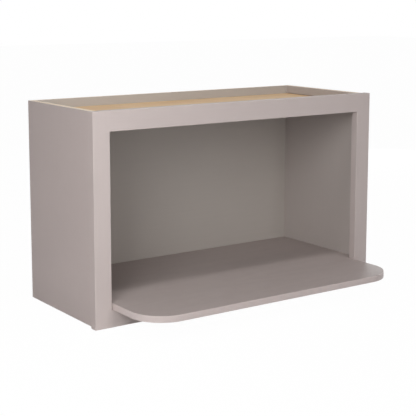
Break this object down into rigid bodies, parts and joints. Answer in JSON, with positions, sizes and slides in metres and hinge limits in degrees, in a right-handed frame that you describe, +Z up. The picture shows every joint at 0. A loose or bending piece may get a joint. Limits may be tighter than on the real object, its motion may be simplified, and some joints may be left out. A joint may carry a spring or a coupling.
{
  "type": "microwave wall cabinet",
  "caption": "Open face-frame wall cabinet with a recessed top and a deep microwave shelf that runs out past the frame with rounded front corners.",
  "frame": {"origin": "under the middle of the outer box, in the plane of the face frame's lower edge", "axes": "+Z up, +X to the right as seen from the front, +Y from the front towards the wall"},
  "size_m": [0.762, 0.4542, 0.4572],
  "materials": {
    "taupe_paint": "satin taupe paint over plywood and hardwood",
    "taupe_edge_band": "satin taupe edge strip",
    "maple_ply": "clear-coated maple-faced plywood",
    "raw_birch": "bare sawn birch",
    "zinc_steel": "bright zinc plate"
  },
  "bodies": {
    "root": {"left_side_panel": "taupe_paint", "right_side_panel": "taupe_paint", "top_panel": "maple_ply", "back_panel": "taupe_paint", "upper_hanging_rail": "taupe_paint", "lower_hanging_rail": "raw_birch", "left_corner_block": "raw_birch", "right_corner_block": "raw_birch", "left_stile": "taupe_paint", "right_stile": "taupe_paint", "top_rail": "taupe_paint", "bottom_rail": "taupe_paint", "microwave_shelf": "taupe_paint", "shelf_edge_band": "taupe_edge_band", "left_shelf_cleat": "raw_birch", "right_shelf_cleat": "raw_birch", "frame_screw_top_left_1": "zinc_steel", "frame_screw_top_left_2": "zinc_steel", "frame_screw_bottom_left_1": "zinc_steel", "frame_screw_bottom_left_2": "zinc_steel", "frame_screw_top_right_1": "zinc_steel", "frame_screw_top_right_2": "zinc_steel", "frame_screw_bottom_right_1": "zinc_steel", "frame_screw_bottom_right_2": "zinc_steel", "shelf_screw_1": "zinc_steel", "shelf_screw_2": "zinc_steel", "shelf_screw_3": "zinc_steel", "left_cleat_side_screw_1": "zinc_steel", "left_cleat_side_screw_2": "zinc_steel", "left_cleat_shelf_screw_1": "zinc_steel", "left_cleat_shelf_screw_2": "zinc_steel", "right_cleat_side_screw_1": "zinc_steel", "right_cleat_side_screw_2": "zinc_steel", "right_cleat_shelf_screw_1": "zinc_steel", "right_cleat_shelf_screw_2": "zinc_steel", "left_corner_block_screw": "zinc_steel", "right_corner_block_screw": "zinc_steel", "back_top_screw_1": "zinc_steel", "back_top_screw_2": "zinc_steel", "back_top_screw_3": "zinc_steel", "upper_rail_screw_1": "zinc_steel", "upper_rail_screw_2": "zinc_steel", "upper_rail_screw_3": "zinc_steel", "back_shelf_screw_1": "zinc_steel", "back_shelf_screw_2": "zinc_steel", "back_shelf_screw_3": "zinc_steel", "lower_rail_screw_1": "zinc_steel", "lower_rail_screw_2": "zinc_steel", "lower_rail_screw_3": "zinc_steel", "back_left_screw_1": "zinc_steel", "back_left_screw_2": "zinc_steel", "back_left_screw_3": "zinc_steel", "back_right_screw_1": "zinc_steel", "back_right_screw_2": "zinc_steel", "back_right_screw_3": "zinc_steel"}
  },
  "joints": []
}
